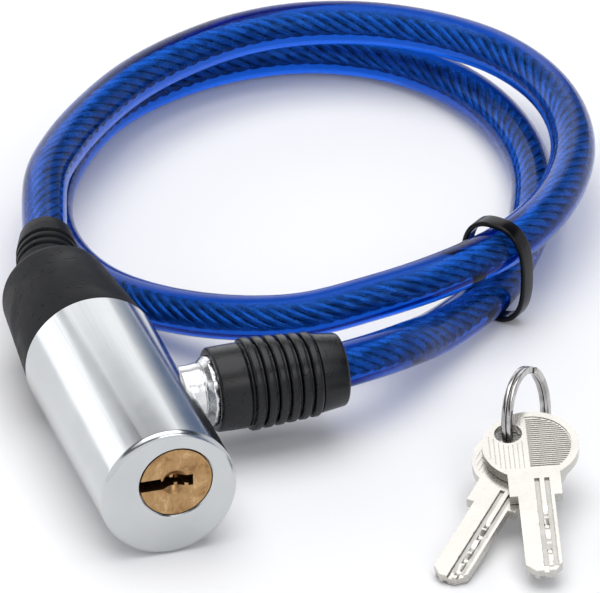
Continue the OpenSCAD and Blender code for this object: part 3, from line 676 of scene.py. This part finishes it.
def bent(u, h, v):
    """A turned point of the boot: about the lock's axis up to the cone's end, and then turning to the neck's."""
    start, reach = BOOT_END - 1.5, 7
    if h <= start:
        return Vector((u, h, v))
    share = min(1, (h - start) / reach)
    angle = NECK_TILT * share
    radius = reach / NECK_TILT
    at = Vector((radius * (1 - math.cos(angle)), start + radius * math.sin(angle), 0))
    at += Vector((math.sin(angle), math.cos(angle), 0)) * max(0, h - start - reach)
    return at + Vector((math.cos(angle), -math.sin(angle), 0)) * u + Vector((0, 0, v))


def make_boot():
    """The rubber boot: a cone behind the shell, and a ribbed neck that leans towards the bolt's side."""
    groove, pitch, depth, neck_r, growth = 1.1, 2.3, 0.95, 5.5, 0.06
    neck_end = BEND_Y + NECK_L
    ribs_to = neck_end - 5.4
    inner = (4.2, SHELL_L, 0)
    outline = [inner, (SHELL_R - 0.1, SHELL_L, 0.3), (9.45, BOOT_END, 2.2), (5.6, BOOT_END + 0.1, 0.5)]
    for k in (2, 1, 0):
        end = ribs_to - k * pitch
        r = neck_r + growth * k
        outline += [(r, end - groove, 0.35), (r - depth, end - groove / 2, 0.4), (r, end, 0.35)]
    outline += [(4.7, neck_end, 0.5), (CABLE_BORE, neck_end, 0.1), (CABLE_BORE, SHELL_L + 16, 0), inner]
    profile = rounded(outline)[:-1]
    boot = new_piece("rubber_boot", *turned(profile, bent), BOOT_RUBBER, "lock", "black_rubber", sharp=40)
    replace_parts(boot, "rear_boot")


def make_bolt():
    """The plated bolt, with its locking groove, and the flared flange that the sleeve was moulded against."""
    groove_r, socket_r, socket_end = 3.2, 5.4, 26.9
    profile = rounded([
        (0, -7.6, 0), (4.2, -7.6, 0.2), (BOLT_R, -6.8, 0.2),
        (BOLT_R, -4.6, 0.1), (groove_r, -4.6, 0), (groove_r, -1.8, 0), (BOLT_R, -1.8, 0.1),
        (BOLT_R, 13.0, 1), (5.15, 14.2, 0.2), (5.0, 14.5, 0.15), (5.35, 14.8, 0.3), (6.0, 15.7, 0.4),
        (6.0, 16.5, 0.2), (socket_r, 16.6, 0.1), (socket_r, socket_end, 0), (0, socket_end, 0),
    ])
    points, faces = turned(profile, along_bolt)
    ragged_from, ragged_to, ragged, grain, core_r = 14.6, 17, 0.22, 0.9, 4
    for point in points:
        out = point - Vector((point.x, BOLT_Y, 0))
        if out.length > core_r:
            share = ease((point.x - ragged_from) / 0.8) * ease((ragged_to - point.x) / 0.4)
            point += out.normalized() * share * ragged * noise.noise(point * grain)
    bolt = new_piece("bolt_body", points, faces, PLATING, "bolt", "bolt_plating")
    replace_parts(bolt, "bolt")


def make_sleeve():
    """The moulded sleeve: a smooth near collar, six ribs and a tapered far collar."""
    count, pitch, depth, first_d, last_d, crest = 6, 2.15, 0.9, 16.2, 14.9, 0.75
    ribs_from, socket_r = SLEEVE_X + 5.6, 5.55
    ribs_to = ribs_from + count * pitch
    inner = (socket_r, SLEEVE_X + 0.5, 0)
    outline = [inner, (6.3, SLEEVE_X, 0.3), (7.4, SLEEVE_X, 0.9), (7.5, ribs_from - 0.3, 0.5)]
    for k in range(count):
        r = (first_d + (last_d - first_d) * k / (count - 1)) / 2
        start = ribs_from + k * pitch
        outline += [
            (r - depth, start, 0), (r - depth, start + 0.45, 0.15),
            (r, start + 0.5, crest), (r, start + pitch - 0.05, crest),
        ]
    outline += [
        (6.3, ribs_to, 0.12), (7.0, ribs_to + 0.15, 0.3), (6.35, SLEEVE_END, 0.8), (5.2, SLEEVE_END, 0.3),
        (CABLE_BORE, SLEEVE_END - 7, 0), (CABLE_BORE, SOCKET_END, 0), (socket_r, SOCKET_END, 0), inner,
    ]
    points, faces = turned(rounded(outline)[:-1], along_bolt)
    sleeve = new_piece("ribbed_sleeve", points, faces, SLEEVE_RUBBER, "bolt", "black_rubber", sharp=50)
    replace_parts(sleeve, "bolt_sleeve")


make_shell()
make_boot()
make_bolt()
make_sleeve()


# Keys

def key_place(k):
    """From a key's own frame, with its hole on the z axis and its underside at z = 0, to the lock's."""
    lift = KEY_STACK / 2 if k == 0 else -KEY_STACK / 2 - KEY_T
    turn = Matrix.Rotation
    return (
        Matrix.Translation(KEYS_AT) @ turn(KEYS_SLOPE_TURN, 4, "Z") @ turn(KEYS_SLOPE, 4, "X")
        @ turn(-KEYS_SLOPE_TURN, 4, "Z") @ turn(KEY_TURNS[k], 4, "Z") @ Matrix.Translation((0, 0, lift))
    )


def bar(low, high):
    """The points and faces of a bar whose top is a little narrower than its foot."""
    taper = 0.03
    points = []
    for z, inset in ((low[2], 0), (high[2], taper)):
        x0, y0, x1, y1 = low[0] + inset, low[1] + inset, high[0] - inset, high[1] - inset
        points += [(x0, y0, z), (x1, y0, z), (x1, y1, z), (x0, y1, z)]
    return points, [[0, 1, 2, 3], [4, 5, 6, 7], [0, 1, 5, 4], [1, 2, 6, 5], [2, 3, 7, 6], [3, 0, 4, 7]]


def panel_bars():
    """Level bars in the sunk panel of a key's head, about the head's centre."""
    panel_r, left, low = HEAD_R - 1.35, -0.45, -5.25
    wide, pitch, room, foot, top = 0.15, 0.5, 0.2, -0.16, -0.01
    bars, y = [], low + 0.1
    while y < panel_r - 0.6:
        right = math.sqrt(panel_r ** 2 - max(abs(y), abs(y + room)) ** 2)
        bars.append(((left, y, foot), (right, y + wide, top)))
        y += pitch
    return bars


def plain_bars():
    """Upright bars on the plain half of a key's head, which leave its hole free."""
    count, first, pitch, wide, foot, top = 8, -7.1, 0.8, 0.16, -0.02, 0.05
    edge_r, lowest, shortest = HEAD_R - 0.7, -5.6, 0.4
    hole, hole_r = Vector((-3.6, 3.2)), 2.9
    bars = []
    for n in range(count):
        x = first + pitch * n
        high = math.sqrt(edge_r ** 2 - x ** 2)
        low = max(-high, lowest)
        gap = hole_r ** 2 - (x - hole.x) ** 2
        spans = [(low, high)]
        if gap > 0:
            spans = [(low, hole.y - math.sqrt(gap)), (hole.y + math.sqrt(gap), high)]
        bars += [((x, a, foot), (x + wide, b, top)) for a, b in spans if b - a > shortest]
    return bars


def groove_shade_floors():
    """A dark floor in each long groove of a key's blade: painted shade in the groove."""
    half, tip, shoulder, foot, top = 0.4, -29.4, -HEAD_R - 0.05, -0.52, -0.44
    return [((x - half, tip, foot), (x + half, shoulder, top)) for x in GROOVE_XS]


def make_key_lines(k):
    """The fine lines on both faces of a key, and the dark floors in its grooves that are painted shade."""
    points, faces = [], []
    for flip in (0, 1):
        face = (
            key_place(k) @ Matrix.Translation(HEAD_AT + Vector((0, 0, KEY_T / 2)))
            @ Matrix.Rotation(math.pi * flip, 4, "Y") @ Matrix.Translation((0, 0, KEY_T / 2))
        )
        for low, high in panel_bars() + plain_bars() + groove_shade_floors():
            more, sides = bar(low, high)
            faces += [[len(points) + i for i in side] for side in sides]
            points += [face @ Vector(p) for p in more]
    body = f"key_{k + 1}"
    new_piece(f"{body}_lines", points, faces, ENGRAVING_AND_GROOVE_SHADE, body, "key_nickel", sharp=20)


def make_ring():
    """The split ring: two flat turns side by side, with one step between them where the wire's ends lie."""
    lean, turn, foot_z = math.radians(80), math.radians(50), -2.98
    r, wide, thick, edge, half_rise = 8.4, 1.2, 0.8, 0.22, 0.45
    start, steps, step_at, step_half = math.radians(50), 192, TURN, math.radians(24)
    place = (
        Matrix.Translation((KEYS_AT.x, KEYS_AT.y, foot_z)) @ Matrix.Rotation(turn, 4, "Z")
        @ Matrix.Translation((r, 0, 0)) @ Matrix.Rotation(lean, 4, "X")
    )
    section = rounded([
        (0, -thick / 2, 0), (wide / 2, -thick / 2, edge), (wide / 2, thick / 2, edge),
        (-wide / 2, thick / 2, edge), (-wide / 2, -thick / 2, edge), (0, -thick / 2, 0),
    ], 4)[:-1]
    points = []
    for i in range(steps + 1):
        a = 2 * TURN * i / steps
        rise = half_rise * (2 * ease((a - step_at + step_half) / (2 * step_half)) - 1)
        out = Vector((math.cos(start + a), math.sin(start + a), 0))
        points += [place @ (out * (r + u) + Vector((0, 0, rise + v))) for u, v in section]
    faces = walls(steps + 1, len(section)) + caps(steps + 1, len(section))
    ring = new_piece("ring_wire", points, faces, RING_STEEL, "split_ring", "ring_steel", sharp=50)
    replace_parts(ring, "split_ring")


for index in range(len(KEY_TURNS)):
    make_key_lines(index)
make_ring()


# Inside

def make_spring(n):
    """The coil under a driver pin, from its foot on the strip up through the frame's spring."""
    node, wire_r, turns, steps, margin = f"pin_spring_{n}", 0.125, 4, 80, 1.1
    low, high = (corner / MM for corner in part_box(node))
    middle, coil_r = (low + high) / 2, (high.x - low.x) / 2 - wire_r
    path = []
    for i in range(steps + 1):
        a = TURN * turns * i / steps
        z = low.z + wire_r + (high.z - low.z - 2 * wire_r) * i / steps
        path.append(Vector((middle.x + coil_r * math.cos(a), middle.y + coil_r * math.sin(a), z)))
    points, faces = swept(path, circle(wire_r, 8))
    spring = new_piece(f"coil_spring_{n}", points, faces, STEEL, "lock", "inner_steel", sharp=60)
    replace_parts(spring, node)
    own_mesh(spring)


for index in PIN_NUMBERS:
    make_spring(index)


# Frame pieces that keep their shape

def dress(material, *names):
    """Gives nodes of the frame a finish."""
    for name in names:
        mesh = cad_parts[name].data
        mesh.materials.clear()
        mesh.materials.append(material)
        shade(mesh, 30)


dress(ZINC, "lock_core")
dress(BRASS, "plug")
dress(PIN_BRASS, *(f"key_pin_{n}" for n in PIN_NUMBERS), *(f"driver_pin_{n}" for n in PIN_NUMBERS))
dress(STEEL, "cable_ferrule", "ferrule_pin", "spring_strip", "plug_clip", "drive_pin", "latch")
dress(NICKEL, "key_1", "key_2")


# Stage

def make_floor():
    """A pale floor under the part."""
    half = 4000
    material = bpy.data.materials.new("floor")
    material.use_nodes = True
    shader = material.node_tree.nodes["Principled BSDF"]
    shader.inputs["Base Color"].default_value = (0.9, 0.9, 0.9, 1)
    shader.inputs["Roughness"].default_value = 0.9
    corners = [(-half, -half, FLOOR_Z), (half, -half, FLOOR_Z), (half, half, FLOOR_Z), (-half, half, FLOOR_Z)]
    floor = new_piece("floor", corners, [[0, 1, 2, 3]], material, None)


def make_lamp(name, at, size, power, look_at=(0.05, 0.06, 0)):
    """A soft lamp that the camera doesn't see. Its power is in watts."""
    data = bpy.data.lights.new(name, "AREA")
    data.shape, data.size, data.size_y, data.energy = "RECTANGLE", *size, power
    lamp = bpy.data.objects.new(name, data)
    lamp.location = at
    lamp.rotation_mode = "QUATERNION"
    lamp.rotation_quaternion = (Vector(look_at) - Vector(at)).to_track_quat("-Z", "Y")
    lamp.visible_camera = False
    scene.collection.objects.link(lamp)


def make_world():
    """A soft pale room, with a dark belt between its walls and its ceiling and a dark strip on its right wall."""
    world = bpy.data.worlds.new("studio")
    world.use_nodes = True
    scene.world = world
    nodes, links = world.node_tree.nodes, world.node_tree.links
    where = nodes.new("ShaderNodeTexCoord")
    split = nodes.new("ShaderNodeSeparateXYZ")
    mix = nodes.new("ShaderNodeMix")
    mix.data_type, mix.blend_type = "RGBA", "MULTIPLY"
    mix.inputs[MIX_SHARE].default_value = 1
    links.new(where.outputs["Generated"], split.inputs[0])
    belt, strip = (0.12, 0.12, 0.124), (0.16, 0.22, 0.34)
    height_stops = (
        (0.0, (1.02, 1.02, 1.05)), (0.5, (0.96, 0.96, 0.99)), (0.62, belt), (0.76, belt),
        (0.88, (1.15, 1.15, 1.18)), (1.0, (1.25, 1.25, 1.29)),
    )
    right_stops = ((0.0, 1), (0.44, 1), (0.56, strip), (0.7, strip), (0.9, 0.9))
    for axis, stops, socket in (("Z", height_stops, MIX_A), ("X", right_stops, MIX_B)):
        ramp = nodes.new("ShaderNodeValToRGB")
        set_stops(ramp.color_ramp, stops)
        links.new(split.outputs[axis], ramp.inputs["Fac"])
        links.new(ramp.outputs["Color"], mix.inputs[socket])
    links.new(mix.outputs[MIX_RESULT], nodes["Background"].inputs["Color"])


make_floor()
make_world()
make_lamp("top_softbox", (0.1, 0.22, 1.1), (1.1, 1.25), 6.8, look_at=(0.1, 0.22, 0))
make_lamp("left_softbox", (-0.85, 1.16, 0.3), (0.88, 0.66), 1.5)
make_lamp("front_softbox", (0.31, -0.83, 0.81), (0.5, 0.4), 1.8)
make_lamp("right_softbox", (0.18, 1.44, 0.6), (1.06, 1.26), 2.2)
scene.view_settings.view_transform = "Standard"
